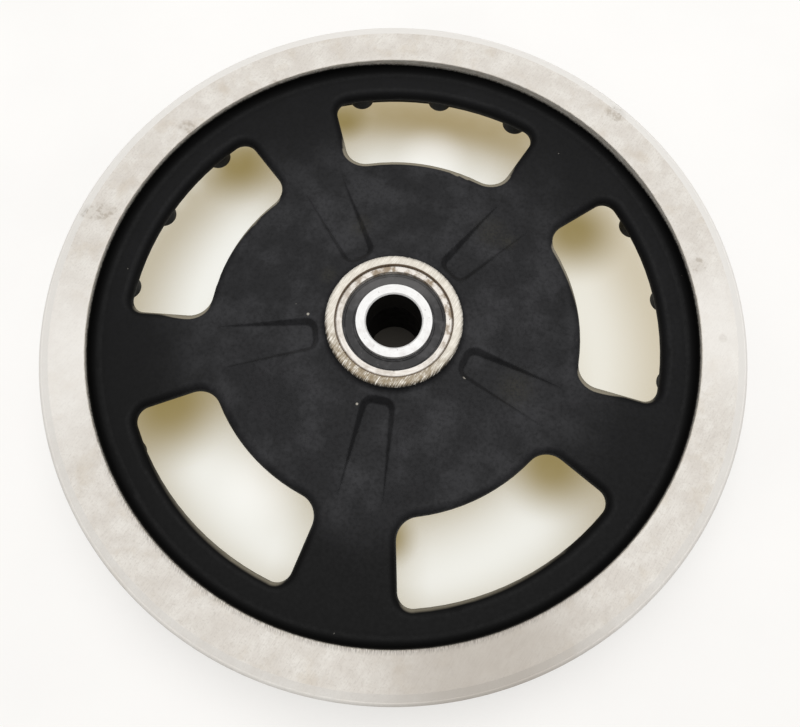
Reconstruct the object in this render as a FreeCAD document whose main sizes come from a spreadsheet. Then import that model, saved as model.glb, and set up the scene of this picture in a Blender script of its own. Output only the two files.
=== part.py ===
"""Toothed belt sprocket: a five-spoke cast wheel with a guide flange and a sealed ball bearing in its hub.

Millimetres. The axle axis is Z, the flange side looks up, and Z = 0 is the plane the drive lugs stand on.
"""
import FreeCAD, Part
import math
import os
import Sketcher

FULL_TURN = 360
HALF_TURN = 180
QUARTER_TURN = 90

doc = FreeCAD.newDocument("belt_sprocket")

# Driving sizes, one row each
driving = [
    ("tooth_count", "68", "teeth around the rim"),
    ("tooth_pitch", "14", "belt pitch along the pitch circle"),
    ("pitch_line_offset", "1.4", "belt cord line above the tooth tips"),
    ("groove_radius", "4.2", "rounded groove bottom"),
    ("flank_length", "0.8", "straight flank between tip and groove rounding"),
    ("tip_round", "1.2", "rounding of each tooth tip"),
    ("tooth_width", "31", "toothed face, flange to rear edge"),
    ("flange_overhang", "5.9", "flange edge beyond the tooth tips"),
    ("flange_thickness", "4.5", "flange at its root"),
    ("flange_taper_drop", "0.9", "belt side of the flange leans back by this at the edge"),
    ("flange_bevel_width", "3", "shallow bevel round the flange face"),
    ("flange_bevel_drop", "0.7", "fall of that bevel"),
    ("flange_round", "1.8", "rounded outer edge of the flange"),
    ("flange_height", "48", "flange face above the rest plane"),
    ("face_width", "20.5", "bright machined face of the flange"),
    ("face_step", "3.4", "machined wall inside the face"),
    ("rim_fillet", "4.2", "cast fillet between rim and machined wall"),
    ("plate_thickness", "5.2", "web, spokes and rim plate"),
    ("rim_wall", "6.2", "rim under the tooth grooves"),
    ("rim_draft", "1", "the rim bore opens this much to the rear"),
    ("rim_land", "15.2", "plate between the rim bore and the windows"),
    ("window_inner_radius", "85", "inner arc of the windows"),
    ("window_side_angle", "24.2", "window side against the window axis, degrees"),
    ("window_side_offset", "1.2", "window side past the axle axis"),
    ("window_outer_corner", "6.5", "corner radius at the rim"),
    ("window_inner_corner", "10", "corner radius at the web"),
    ("window_rear_round", "1", "rounded rear edges of the windows"),
    ("window_wall", "0.4", "straight wall between the front and rear roundings"),
    ("spoke_count", "5", "spokes and windows"),
    ("panel_rise", "4.2", "web panels at the hub above the spoke fronts"),
    ("panel_margin", "5.6", "flat strip between panel foot and windows"),
    ("channel_gap", "3.8", "web between the boss foot and the spoke channels"),
    ("channel_end_width", "10", "channel width at the hub end"),
    ("channel_side_angle", "6.5", "channel side against the spoke axis, degrees"),
    ("channel_corner", "3", "corner radius at the hub end"),
    ("channel_wall_angle", "34", "lean of the channel walls, degrees"),
    ("boss_wall", "4.6", "machined hub boss round the bearing seat"),
    ("boss_rise", "1", "boss face above the flange face"),
    ("boss_round", "1.2", "rounded outer edge of the boss face"),
    ("seat_chamfer", "0.35", "mouth of the bearing seat"),
    ("boss_fillet", "2.5", "cast fillet at the foot of the boss"),
    ("hub_wall", "8", "rear hub round the bearing seat"),
    ("hub_rear_height", "24", "rear end of the hub above the rest plane"),
    ("shoulder_width", "3.4", "shoulder behind the bearing"),
    ("pad_radius", "6", "ejector pads behind the rim plate"),
    ("pad_setback", "8", "pad centres outside the window arc"),
    ("pad_length", "8", "ejector pads behind the plate"),
    ("pads_per_spoke", "4", "ejector pads per spoke"),
    ("lug_inner_radius", "46", "hub end of the drive lugs"),
    ("lug_outer_radius", "78", "rim end of the drive lugs"),
    ("lug_width", "22", "drive lug across the spoke"),
    ("lug_wall", "5", "wall of the cored drive lugs"),
    ("lug_corner", "6", "corner radius of the drive lugs"),
    ("rib_width", "6", "rib behind each spoke"),
    ("rib_depth", "12", "rib behind the plate"),
    ("bearing_bore_radius", "12.5", "bearing and sleeve bore"),
    ("bearing_radius", "26", "bearing outside"),
    ("bearing_width", "18", "bearing width"),
    ("bearing_recess", "1.2", "bearing below the boss face"),
    ("ring_chamfer", "0.6", "edges of the bearing rings"),
    ("ring_shoulder_offset", "2.25", "ring shoulders each side of the ball circle"),
    ("ball_count", "9", "balls"),
    ("ball_radius", "3.969", "ball radius"),
    ("ball_gap", "0.15", "ball to groove and ball to cage"),
    ("seal_land", "1.6", "seal seat outside the ring shoulder"),
    ("seal_clearance", "0.5", "seal to cage"),
    ("seal_recess", "2.6", "seal below the ring face"),
    ("seal_gap", "0.2", "seal lip to inner ring"),
    ("seal_rim_width", "1", "raised rim of the seal"),
    ("seal_lip_width", "0.9", "raised lip of the seal"),
    ("seal_groove_depth", "0.3", "seal face between rim and lip, below both"),
    ("press_gap", "0.01", "drawn gap of the pressed fits"),
    ("cage_gap", "0.6", "cage to ring shoulders"),
    ("cage_sheet", "0.9", "sheet of the pressed cage halves"),
    ("rivet_radius", "0.6", "cage rivet shank"),
    ("rivet_head_radius", "1.1", "cage rivet head at the sheet"),
    ("rivet_top_radius", "0.7", "cage rivet head at its top"),
    ("rivet_head_height", "0.6", "cage rivet head"),
    ("sleeve_wall", "3", "spacer sleeve"),
    ("sleeve_lift", "1", "sleeve end above the rest plane"),
]

# Sizes that follow from the driving ones
derived = [
    ("pitch_radius", "tooth_count * tooth_pitch / (2 * pi)"),
    ("tip_radius", "pitch_radius - pitch_line_offset"),
    ("groove_depth", "tip_round + flank_length + groove_radius"),
    ("root_radius", "tip_radius - groove_depth"),
    ("groove_centre", "root_radius + groove_radius"),
    ("groove_mouth", "groove_radius + tip_round"),
    ("groove_shoulder", "tip_radius - tip_round"),
    ("groove_open", "tip_radius + tip_round"),
    ("flange_radius", "tip_radius + flange_overhang"),
    ("flange_root_height", "flange_height - flange_thickness"),
    ("flange_lip_height", "flange_root_height + flange_taper_drop"),
    ("flange_edge_radius", "flange_radius - flange_round"),
    ("flange_edge_height", "flange_height - flange_bevel_drop"),
    ("flange_side_height", "flange_edge_height - flange_round"),
    ("flange_flat_radius", "flange_edge_radius - flange_bevel_width"),
    ("face_radius", "flange_radius - face_width"),
    ("step_height", "flange_height - face_step"),
    ("plate_front", "step_height - rim_fillet"),
    ("plate_rear", "plate_front - plate_thickness"),
    ("fillet_foot_radius", "face_radius - rim_fillet"),
    ("rim_rear", "flange_root_height - tooth_width"),
    ("rim_bore_rear", "root_radius - rim_wall"),
    ("rim_bore_front", "rim_bore_rear - rim_draft"),
    ("window_outer_radius", "rim_bore_front - rim_land"),
    ("window_edge_round", "plate_thickness - window_rear_round - window_wall"),
    ("panel_foot_radius", "window_inner_radius - panel_margin"),
    ("panel_top", "plate_front + panel_rise"),
    ("window_rim_limit", "window_outer_radius + panel_margin / 2"),
    ("channel_outer_radius", "panel_foot_radius + panel_margin / 2"),
    ("seat_radius", "bearing_radius + press_gap"),
    ("boss_radius", "seat_radius + boss_wall"),
    ("boss_foot_radius", "boss_radius + boss_fillet"),
    ("boss_foot_height", "panel_top + boss_fillet"),
    ("boss_top", "flange_height + boss_rise"),
    ("boss_side_top", "boss_top - boss_round"),
    ("boss_rim_radius", "boss_radius - boss_round"),
    ("seat_mouth_radius", "seat_radius + seat_chamfer"),
    ("seat_mouth_height", "boss_top - seat_chamfer"),
    ("hub_radius", "seat_radius + hub_wall"),
    ("shoulder_radius", "seat_radius - shoulder_width"),
    ("channel_end_radius", "boss_foot_radius + channel_gap"),
    ("channel_lean_in", "channel_end_radius * sin(channel_side_angle * 1 deg)"),
    ("channel_side_offset", "channel_end_width / 2 * cos(channel_side_angle * 1 deg) - channel_lean_in"),
    ("pad_count", "spoke_count * pads_per_spoke"),
    ("pad_circle_radius", "window_outer_radius + pad_setback"),
    ("lug_core_inner", "lug_inner_radius + lug_wall"),
    ("lug_core_outer", "lug_outer_radius - lug_wall"),
    ("lug_half", "lug_width / 2"),
    ("lug_core_half", "lug_half - lug_wall"),
    ("lug_core_corner", "lug_corner - lug_wall / 2"),
    ("rib_half", "rib_width / 2"),
    ("rib_corner", "rib_width / 4"),
    ("rib_inner_radius", "lug_outer_radius - lug_wall / 2"),
    ("rib_outer_radius", "rim_bore_rear + rim_wall / 2"),
    ("bearing_front", "boss_top - bearing_recess"),
    ("bearing_rear", "bearing_front - bearing_width"),
    ("bearing_middle", "bearing_front - bearing_width / 2"),
    ("front_edge_height", "bearing_front - ring_chamfer"),
    ("rear_edge_height", "bearing_rear + ring_chamfer"),
    ("outer_edge_radius", "bearing_radius - ring_chamfer"),
    ("bore_edge_radius", "bearing_bore_radius + ring_chamfer"),
    ("ball_circle_radius", "(bearing_radius + bearing_bore_radius) / 2"),
    ("race_radius", "ball_radius + ball_gap"),
    ("race_half", "sqrt(race_radius ^ 2 - ring_shoulder_offset ^ 2)"),
    ("race_top", "bearing_middle + race_half"),
    ("race_bottom", "bearing_middle - race_half"),
    ("outer_shoulder_radius", "ball_circle_radius + ring_shoulder_offset"),
    ("inner_shoulder_radius", "ball_circle_radius - ring_shoulder_offset"),
    ("seal_seat_radius", "outer_shoulder_radius + seal_land"),
    ("dome_radius", "race_radius + cage_sheet"),
    ("front_seat_height", "bearing_middle + dome_radius + seal_clearance"),
    ("rear_seat_height", "bearing_middle - dome_radius - seal_clearance"),
    ("seal_outer_radius", "seal_seat_radius - press_gap"),
    ("seal_rim_radius", "seal_outer_radius - seal_rim_width"),
    ("seal_rim_foot", "seal_rim_radius - seal_groove_depth"),
    ("seal_inner_radius", "inner_shoulder_radius + seal_gap"),
    ("seal_lip_radius", "seal_inner_radius + seal_lip_width"),
    ("seal_lip_foot", "seal_lip_radius + seal_groove_depth"),
    ("front_seal_top", "bearing_front - seal_recess"),
    ("front_seal_floor", "front_seal_top - seal_groove_depth"),
    ("front_seal_back", "front_seat_height + press_gap"),
    ("rear_seal_top", "bearing_rear + seal_recess"),
    ("rear_seal_floor", "rear_seal_top + seal_groove_depth"),
    ("rear_seal_back", "rear_seat_height - press_gap"),
    ("cage_inner_radius", "inner_shoulder_radius + cage_gap"),
    ("cage_outer_radius", "outer_shoulder_radius - cage_gap"),
    ("cage_front_face", "bearing_middle + cage_sheet"),
    ("cage_rear_face", "bearing_middle - cage_sheet"),
    ("rivet_hole_radius", "rivet_radius + press_gap"),
    ("rivet_grip", "cage_sheet + press_gap"),
    ("rivet_end", "rivet_grip + rivet_head_height"),
    ("sleeve_radius", "bearing_bore_radius + sleeve_wall"),
    ("sleeve_edge_radius", "sleeve_radius - ring_chamfer"),
    ("sleeve_edge_height", "sleeve_lift + ring_chamfer"),
]

sheet = doc.addObject("Spreadsheet::Sheet", "Sizes")
rows = driving + [(alias, "=" + formula, "follows") for alias, formula in derived]
for row, (alias, value, note) in enumerate(rows, start=1):
    sheet.set(f"A{row}", note)
    sheet.set(f"B{row}", value)
    sheet.setAlias(f"B{row}", alias)
doc.recompute()


def size(alias):
    """The present value of one named size."""
    return float(sheet.get(alias))


def bind(sketch, constraint, expression):
    """Add a constraint and tie its value to the sheet."""
    index = sketch.addConstraint(constraint)
    sketch.setExpression(f"Constraints[{index}]", expression)


def new_body(label):
    """An empty body whose label names the file it is written to."""
    body = doc.addObject("PartDesign::Body", label)
    body.Label = label
    return body


def origin_feature(body, role):
    """One of the body's own origin planes or axes."""
    return [feature for feature in body.Origin.OriginFeatures if feature.Role == role][0]


def new_sketch(body, name, plane, height=None, between=None):
    """A sketch on an origin plane, raised to a named height, turned half a step of a named count if asked."""
    sketch = body.newObject("Sketcher::SketchObject", name)
    sketch.AttachmentSupport = (origin_feature(body, plane), [""])
    sketch.MapMode = "FlatFace"
    turn = HALF_TURN / size(between) if between else 0
    upright = FreeCAD.Vector(0, 0, 1)
    sketch.AttachmentOffset = FreeCAD.Placement(FreeCAD.Vector(), FreeCAD.Rotation(upright, turn))
    if height:
        sketch.setExpression("AttachmentOffset.Base.z", f"Sizes.{height}")
    if between:
        sketch.setExpression("AttachmentOffset.Rotation.Angle", f"{HALF_TURN} deg / Sizes.{between}")
    return sketch


def named_point(across, up):
    """Sketch point from two named sizes; a leading minus mirrors one, None stands on the axis."""
    values = []
    for name in (across, up):
        if name is None:
            values.append(0)
        elif name.startswith("-"):
            values.append(-size(name[1:]))
        else:
            values.append(size(name))
    return FreeCAD.Vector(*values, 0)


def place(sketch, kind, name, edge, end):
    """Hold one coordinate of a sketch point at a named distance from the origin, or on the upright axis."""
    if name is None:
        sketch.addConstraint(Sketcher.Constraint("PointOnObject", edge, end, -2))
    elif name.startswith("-"):
        bind(sketch, Sketcher.Constraint(kind, edge, end, -1, 1, size(name[1:])), f"Sizes.{name[1:]}")
    else:
        bind(sketch, Sketcher.Constraint(kind, -1, 1, edge, end, size(name)), f"Sizes.{name}")


def arc_between(start, end, centre):
    """Arc geometry round a centre, and which of its ends (1 or 2) the outline enters by."""
    first = math.atan2(start.y - centre.y, start.x - centre.x)
    second = math.atan2(end.y - centre.y, end.x - centre.x)
    circle = Part.Circle(centre, FreeCAD.Vector(0, 0, 1), (start - centre).Length)
    if (second - first) % math.tau < math.pi:
        return Part.ArcOfCircle(circle, first, first + (second - first) % math.tau), 1
    return Part.ArcOfCircle(circle, second, second + (first - second) % math.tau), 2


def outline(sketch, corners, arcs):
    """Closed outline through named corners; arcs maps a corner to the centre of the arc leaving it."""
    points = [named_point(*corner) for corner in corners]
    runs = []
    for number, start in enumerate(points):
        end = points[(number + 1) % len(points)]
        first = 1
        if number in arcs:
            curve, first = arc_between(start, end, named_point(*arcs[number]))
            edge = sketch.addGeometry(curve)
            across, up = arcs[number]
            if abs(end.x - start.x) < abs(end.y - start.y):
                place(sketch, "DistanceX", across, edge, 3)
            else:
                place(sketch, "DistanceY", up, edge, 3)
        else:
            edge = sketch.addGeometry(Part.LineSegment(start, end))
        runs.append((edge, first, 3 - first))
    for number, (edge, first, last) in enumerate(runs):
        following = runs[(number + 1) % len(runs)]
        sketch.addConstraint(Sketcher.Constraint("Coincident", edge, last, following[0], following[1]))
        across, up = corners[number]
        place(sketch, "DistanceX", across, edge, first)
        place(sketch, "DistanceY", up, edge, first)


def sector(sketch, inner, outer, lean, offset, inner_corner, outer_corner):
    """Rounded sector about +Y: two arcs round the axle, two straight sides, four corner arcs."""
    tilt = math.radians(size(lean)) if lean else 0
    axle = FreeCAD.Vector()
    corner_at = {}
    for side in (-1, 1):
        across = FreeCAD.Vector(side * math.cos(tilt), -math.sin(tilt), 0)
        along = FreeCAD.Vector(side * math.sin(tilt), math.cos(tilt), 0)
        for end, ring, corner, sign in (("inner", inner, inner_corner, 1), ("outer", outer, outer_corner, -1)):
            reach = size(ring) + sign * size(corner)
            inset = size(offset) - size(corner)
            centre = across * inset + along * math.sqrt(reach ** 2 - inset ** 2)
            on_ring = centre * (size(ring) / centre.Length)
            corner_at[side, end] = (centre, on_ring, centre + across * size(corner))
    edges = {}
    for end, ring in (("outer", outer), ("inner", inner)):
        curve, _ = arc_between(corner_at[1, end][1], corner_at[-1, end][1], axle)
        edges[end] = sketch.addGeometry(curve)
        sketch.addConstraint(Sketcher.Constraint("Coincident", edges[end], 3, -1, 1))
        bind(sketch, Sketcher.Constraint("Radius", edges[end], size(ring)), f"Sizes.{ring}")
    for side in (-1, 1):
        line = sketch.addGeometry(Part.LineSegment(corner_at[side, "inner"][2], corner_at[side, "outer"][2]))
        lean_now = f"Sizes.{lean}" if lean else "0"
        angle = math.pi / 2 - side * tilt
        sign = "-" if side > 0 else "+"
        for end, corner, line_end in (("inner", inner_corner, 1), ("outer", outer_corner, 2)):
            centre, on_ring, on_line = corner_at[side, end]
            curve, first = arc_between(on_ring, on_line, centre)
            edge = sketch.addGeometry(curve)
            ring_end = 1 if side > 0 else 2
            sketch.addConstraint(Sketcher.Constraint("Tangent", edge, first, edges[end], ring_end))
            sketch.addConstraint(Sketcher.Constraint("Tangent", edge, 3 - first, line, line_end))
            bind(sketch, Sketcher.Constraint("Radius", edge, size(corner)), f"Sizes.{corner}")
        bind(sketch, Sketcher.Constraint("Angle", line, angle), f"({QUARTER_TURN} {sign} {lean_now}) * 1 deg")
        bind(sketch, Sketcher.Constraint("Distance", -1, 1, line, size(offset)), f"Sizes.{offset}")


def round_spot(sketch, reach, radius):
    """Circle of a named radius on +Y, at a named distance from the axle."""
    centre = FreeCAD.Vector(0, size(reach), 0)
    circle = sketch.addGeometry(Part.Circle(centre, FreeCAD.Vector(0, 0, 1), size(radius)))
    sketch.addConstraint(Sketcher.Constraint("PointOnObject", circle, 3, -2))
    bind(sketch, Sketcher.Constraint("DistanceY", -1, 1, circle, 3, size(reach)), f"Sizes.{reach}")
    bind(sketch, Sketcher.Constraint("Radius", circle, size(radius)), f"Sizes.{radius}")


def revolve(body, name, corners, arcs, kind="Revolution"):
    """Turn a named outline in the XZ plane once round the axle axis, to add it or, as a Groove, to cut it."""
    sketch = new_sketch(body, name + "_outline", "XZ_Plane")
    outline(sketch, corners, arcs)
    turned = body.newObject(f"PartDesign::{kind}", name)
    turned.Profile = sketch
    turned.ReferenceAxis = (sketch, ["V_Axis"])
    turned.Angle = FULL_TURN
    sketch.Visibility = False
    return turned


def extrude(body, kind, name, sketch, length, upward):
    """Pad or pocket of a named length, upward or downward from its sketch."""
    feature = body.newObject(f"PartDesign::{kind}", name)
    feature.Profile = sketch
    feature.setExpression("Length", f"Sizes.{length}")
    feature.Reversed = upward if kind == "Pocket" else not upward
    sketch.Visibility = False
    return feature


def repeat(body, name, feature, count):
    """Repeat a feature round the axle axis and make the result the body's tip."""
    pattern = body.newObject("PartDesign::PolarPattern", name)
    pattern.Originals = [feature]
    pattern.Axis = (origin_feature(body, "Z_Axis"), [""])
    pattern.Angle = FULL_TURN
    pattern.setExpression("Occurrences", f"Sizes.{count}")
    body.Tip = pattern
    doc.recompute()
    return pattern


def on_ball_circle(item, steps):
    """Put an item on the ball circle, a number of ball steps round from +Y."""
    turn = f"({QUARTER_TURN} + {steps} * {FULL_TURN} / Sizes.ball_count) * 1 deg"
    item.setExpression("Placement.Base.x", f"Sizes.ball_circle_radius * cos({turn})")
    item.setExpression("Placement.Base.y", f"Sizes.ball_circle_radius * sin({turn})")
    item.setExpression("Placement.Base.z", "Sizes.bearing_middle")


# Sprocket casting: hub, web, rim and flange are one turned section
casting = new_body("sprocket_casting")
revolve(casting, "turned_blank", [
    ("shoulder_radius", "hub_rear_height"),
    ("hub_radius", "hub_rear_height"),
    ("hub_radius", "plate_rear"),
    ("rim_bore_front", "plate_rear"),
    ("rim_bore_rear", "rim_rear"),
    ("tip_radius", "rim_rear"),
    ("tip_radius", "flange_root_height"),
    ("flange_radius", "flange_lip_height"),
    ("flange_radius", "flange_side_height"),
    ("flange_edge_radius", "flange_edge_height"),
    ("flange_flat_radius", "flange_height"),
    ("face_radius", "flange_height"),
    ("face_radius", "step_height"),
    ("fillet_foot_radius", "plate_front"),
    ("panel_foot_radius", "plate_front"),
    ("boss_foot_radius", "panel_top"),
    ("boss_radius", "boss_foot_height"),
    ("boss_radius", "boss_side_top"),
    ("boss_rim_radius", "boss_top"),
    ("seat_mouth_radius", "boss_top"),
    ("seat_radius", "seat_mouth_height"),
    ("seat_radius", "bearing_rear"),
    ("shoulder_radius", "bearing_rear"),
], {
    8: ("flange_edge_radius", "flange_side_height"),
    12: ("fillet_foot_radius", "step_height"),
    15: ("boss_foot_radius", "boss_foot_height"),
    17: ("boss_rim_radius", "boss_side_top"),
})

# Five windows through the plate leave the spokes between them
window_sketch = new_sketch(casting, "window_outline", "XY_Plane")
sector(window_sketch, "window_inner_radius", "window_outer_radius",
       "window_side_angle", "window_side_offset", "window_inner_corner", "window_outer_corner")
window = extrude(casting, "Pocket", "window", window_sketch, "boss_top", True)
repeat(casting, "windows", window, "spoke_count")

# Rounded window edges, wide in front and small behind
for side, radius in (("front", "window_edge_round"), ("rear", "window_rear_round")):
    pierced = casting.Tip
    window_edges = []
    for number, edge in enumerate(pierced.Shape.Edges, start=1):
        ends = [vertex.Point for vertex in edge.Vertexes]
        level = all(abs(point.z - size(f"plate_{side}")) < size("press_gap") for point in ends)
        reach = [math.hypot(point.x, point.y) for point in ends]
        if level and size("channel_outer_radius") < min(reach) and max(reach) < size("window_rim_limit"):
            window_edges.append(f"Edge{number}")
    rounding = casting.newObject("PartDesign::Fillet", f"window_{side}_rounding")
    rounding.Base = (pierced, window_edges)
    rounding.setExpression("Radius", f"Sizes.{radius}")
    casting.Tip = rounding
    doc.recompute()

# Flat-bottomed channels carry each spoke front inwards through the coned web to the hub
channel_sketch = new_sketch(casting, "channel_outline", "XY_Plane", "plate_front", "spoke_count")
sector(channel_sketch, "channel_end_radius", "channel_outer_radius",
       "channel_side_angle", "channel_side_offset", "channel_corner", "channel_corner")
channel = extrude(casting, "Pocket", "channel", channel_sketch, "panel_rise", True)
channel.setExpression("TaperAngle", "Sizes.channel_wall_angle * 1 deg")
repeat(casting, "channels", channel, "spoke_count")

# Ejector pads behind the rim plate
pad_sketch = new_sketch(casting, "pad_outline", "XY_Plane", "plate_rear")
round_spot(pad_sketch, "pad_circle_radius", "pad_radius")
pad = extrude(casting, "Pad", "ejector_pad", pad_sketch, "pad_length", False)
repeat(casting, "ejector_pads", pad, "pad_count")

# Cored drive lugs on the back, one behind each spoke
lug_sketch = new_sketch(casting, "lug_outline", "XY_Plane", None, "spoke_count")
sector(lug_sketch, "lug_inner_radius", "lug_outer_radius", None, "lug_half", "lug_corner", "lug_corner")
sector(lug_sketch, "lug_core_inner", "lug_core_outer", None, "lug_core_half",
       "lug_core_corner", "lug_core_corner")
lug = extrude(casting, "Pad", "drive_lug", lug_sketch, "plate_rear", True)
repeat(casting, "drive_lugs", lug, "spoke_count")

# A rib behind each spoke ties lug and rim together
rib_sketch = new_sketch(casting, "rib_outline", "XY_Plane", "plate_rear", "spoke_count")
sector(rib_sketch, "rib_inner_radius", "rib_outer_radius", None, "rib_half", "rib_corner", "rib_corner")
rib = extrude(casting, "Pad", "spoke_rib", rib_sketch, "rib_depth", False)
repeat(casting, "spoke_ribs", rib, "spoke_count")

# Belt teeth: one rounded groove cut up to the flange, repeated round the rim
groove_sketch = new_sketch(casting, "groove_outline", "XY_Plane", "rim_rear")
outline(groove_sketch, [
    ("-groove_mouth", "groove_open"),
    ("groove_mouth", "groove_open"),
    ("groove_mouth", "tip_radius"),
    ("groove_radius", "groove_shoulder"),
    ("groove_radius", "groove_centre"),
    ("-groove_radius", "groove_centre"),
    ("-groove_radius", "groove_shoulder"),
    ("-groove_mouth", "tip_radius"),
], {
    2: ("groove_mouth", "groove_shoulder"),
    4: (None, "groove_centre"),
    6: ("-groove_mouth", "groove_shoulder"),
})
groove = extrude(casting, "Pocket", "tooth_groove", groove_sketch, "tooth_width", True)
repeat(casting, "belt_teeth", groove, "tooth_count")

# Bearing rings: turned sections with a ball groove each
outer_ring = new_body("bearing_outer_ring")
revolve(outer_ring, "outer_ring_turning", [
    ("outer_edge_radius", "bearing_rear"),
    ("bearing_radius", "rear_edge_height"),
    ("bearing_radius", "front_edge_height"),
    ("outer_edge_radius", "bearing_front"),
    ("seal_seat_radius", "bearing_front"),
    ("seal_seat_radius", "front_seat_height"),
    ("outer_shoulder_radius", "front_seat_height"),
    ("outer_shoulder_radius", "race_top"),
    ("outer_shoulder_radius", "race_bottom"),
    ("outer_shoulder_radius", "rear_seat_height"),
    ("seal_seat_radius", "rear_seat_height"),
    ("seal_seat_radius", "bearing_rear"),
], {7: ("ball_circle_radius", "bearing_middle")})

inner_ring = new_body("bearing_inner_ring")
revolve(inner_ring, "inner_ring_turning", [
    ("bore_edge_radius", "bearing_rear"),
    ("inner_shoulder_radius", "bearing_rear"),
    ("inner_shoulder_radius", "race_bottom"),
    ("inner_shoulder_radius", "race_top"),
    ("inner_shoulder_radius", "bearing_front"),
    ("bore_edge_radius", "bearing_front"),
    ("bearing_bore_radius", "front_edge_height"),
    ("bearing_bore_radius", "rear_edge_height"),
], {2: ("ball_circle_radius", "bearing_middle")})

# Seals: rubber rings seated in the outer ring, their face lowered between rim and lip
seals = []
for end in ("front", "rear"):
    seal = new_body(f"bearing_{end}_seal")
    revolve(seal, f"{end}_seal_ring", [
        ("seal_inner_radius", f"{end}_seal_back"),
        ("seal_outer_radius", f"{end}_seal_back"),
        ("seal_outer_radius", f"{end}_seal_top"),
        ("seal_rim_radius", f"{end}_seal_top"),
        ("seal_rim_foot", f"{end}_seal_floor"),
        ("seal_lip_foot", f"{end}_seal_floor"),
        ("seal_lip_radius", f"{end}_seal_top"),
        ("seal_inner_radius", f"{end}_seal_top"),
    ], {})
    seals.append(seal)

# Cage: two pressed halves, each a flat ring with a dome over every ball and a rivet hole between domes
cage_halves = []
for end, other_end in (("front", "rear"), ("rear", "front")):
    half = new_body(f"cage_{end}_half")
    revolve(half, f"cage_{end}_blank", [
        ("inner_shoulder_radius", f"cage_{other_end}_face"),
        ("outer_shoulder_radius", f"cage_{other_end}_face"),
        ("outer_shoulder_radius", f"cage_{end}_face"),
        ("inner_shoulder_radius", f"cage_{end}_face"),
    ], {})
    for kind, name, radius in (
            ("Additive", "ball_dome", "dome_radius"),
            ("Subtractive", "ball_pocket", "race_radius")):
        sphere = half.newObject(f"PartDesign::{kind}Sphere", f"{end}_{name}")
        sphere.AttachmentSupport = (origin_feature(half, "XY_Plane"), [""])
        sphere.MapMode = "FlatFace"
        sphere.setExpression("Radius", f"Sizes.{radius}")
        sphere.setExpression("AttachmentOffset.Base.y", "Sizes.ball_circle_radius")
        sphere.setExpression("AttachmentOffset.Base.z", "Sizes.bearing_middle")
        repeat(half, f"{end}_{name}s", sphere, "ball_count")
    revolve(half, f"cage_{end}_trim", [
        ("bearing_bore_radius", f"bearing_{other_end}"),
        ("bearing_radius", f"bearing_{other_end}"),
        ("bearing_radius", f"bearing_{end}"),
        ("cage_outer_radius", f"bearing_{end}"),
        ("cage_outer_radius", "bearing_middle"),
        ("cage_inner_radius", "bearing_middle"),
        ("cage_inner_radius", f"bearing_{end}"),
        ("bearing_bore_radius", f"bearing_{end}"),
    ], {}, "Groove")
    hole_sketch = new_sketch(half, f"{end}_rivet_outline", "XY_Plane", "bearing_middle", "ball_count")
    round_spot(hole_sketch, "ball_circle_radius", "rivet_hole_radius")
    hole = extrude(half, "Pocket", f"{end}_rivet_hole", hole_sketch, "cage_sheet", end == "front")
    repeat(half, f"{end}_rivet_holes", hole, "ball_count")
    cage_halves.append(half)

# Balls and the rivets between them, each a node of its own
balls = []
rivets = []
for number in range(round(size("ball_count"))):
    ball = doc.addObject("Part::Sphere", f"bearing_ball_{number + 1}")
    ball.setExpression("Radius", "Sizes.ball_radius")
    on_ball_circle(ball, number)
    balls.append(ball)
    rivet = new_body(f"cage_rivet_{number + 1}")
    revolve(rivet, f"rivet_{number + 1}_turning", [
        (None, "-rivet_end"),
        ("rivet_top_radius", "-rivet_end"),
        ("rivet_head_radius", "-rivet_grip"),
        ("rivet_radius", "-rivet_grip"),
        ("rivet_radius", "rivet_grip"),
        ("rivet_head_radius", "rivet_grip"),
        ("rivet_top_radius", "rivet_end"),
        (None, "rivet_end"),
    ], {})
    on_ball_circle(rivet, f"({number} + 1 / 2)")
    rivets.append(rivet)

# Spacer sleeve behind the inner ring
sleeve = new_body("spacer_sleeve")
revolve(sleeve, "sleeve_turning", [
    ("bearing_bore_radius", "sleeve_lift"),
    ("sleeve_edge_radius", "sleeve_lift"),
    ("sleeve_radius", "sleeve_edge_height"),
    ("sleeve_radius", "bearing_rear"),
    ("bearing_bore_radius", "bearing_rear"),
], {})

doc.recompute()

# Refuse to write anything broken
for item in doc.Objects:
    if "Invalid" in item.State or "Error" in item.State:
        raise RuntimeError(f"{item.Name} did not build: {item.State}")
nodes = [casting, outer_ring, inner_ring, *seals, *cage_halves, *balls, *rivets, sleeve]
os.makedirs("parts", exist_ok=True)
for node in nodes:
    if node.Shape.isNull() or not node.Shape.isValid():
        raise RuntimeError(f"{node.Label} has no valid shape")
    node.Shape.exportStep(f"parts/{node.Label}.step")
    print(node.Label, "solids", len(node.Shape.Solids), "volume", round(node.Shape.Volume))
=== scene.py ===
# %% [markdown]
# # A toothed belt sprocket, dressed for its portrait
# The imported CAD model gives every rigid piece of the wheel: one casting with its flange, spokes and
# belt teeth, and a sealed ball bearing with a spacer sleeve in the hub. Those shapes are right, so this
# lesson leaves them alone. It lays one fine skin over the flange's outer edge and works on what the eye
# reads next: paint, bare machined metal, rubber, light and the camera. Sizes are metres, except that
# the materials reckon in millimetres, and the axle axis is Z.

# %% Load the frame
import math
import bmesh
import bpy
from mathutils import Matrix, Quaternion, Vector


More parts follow.
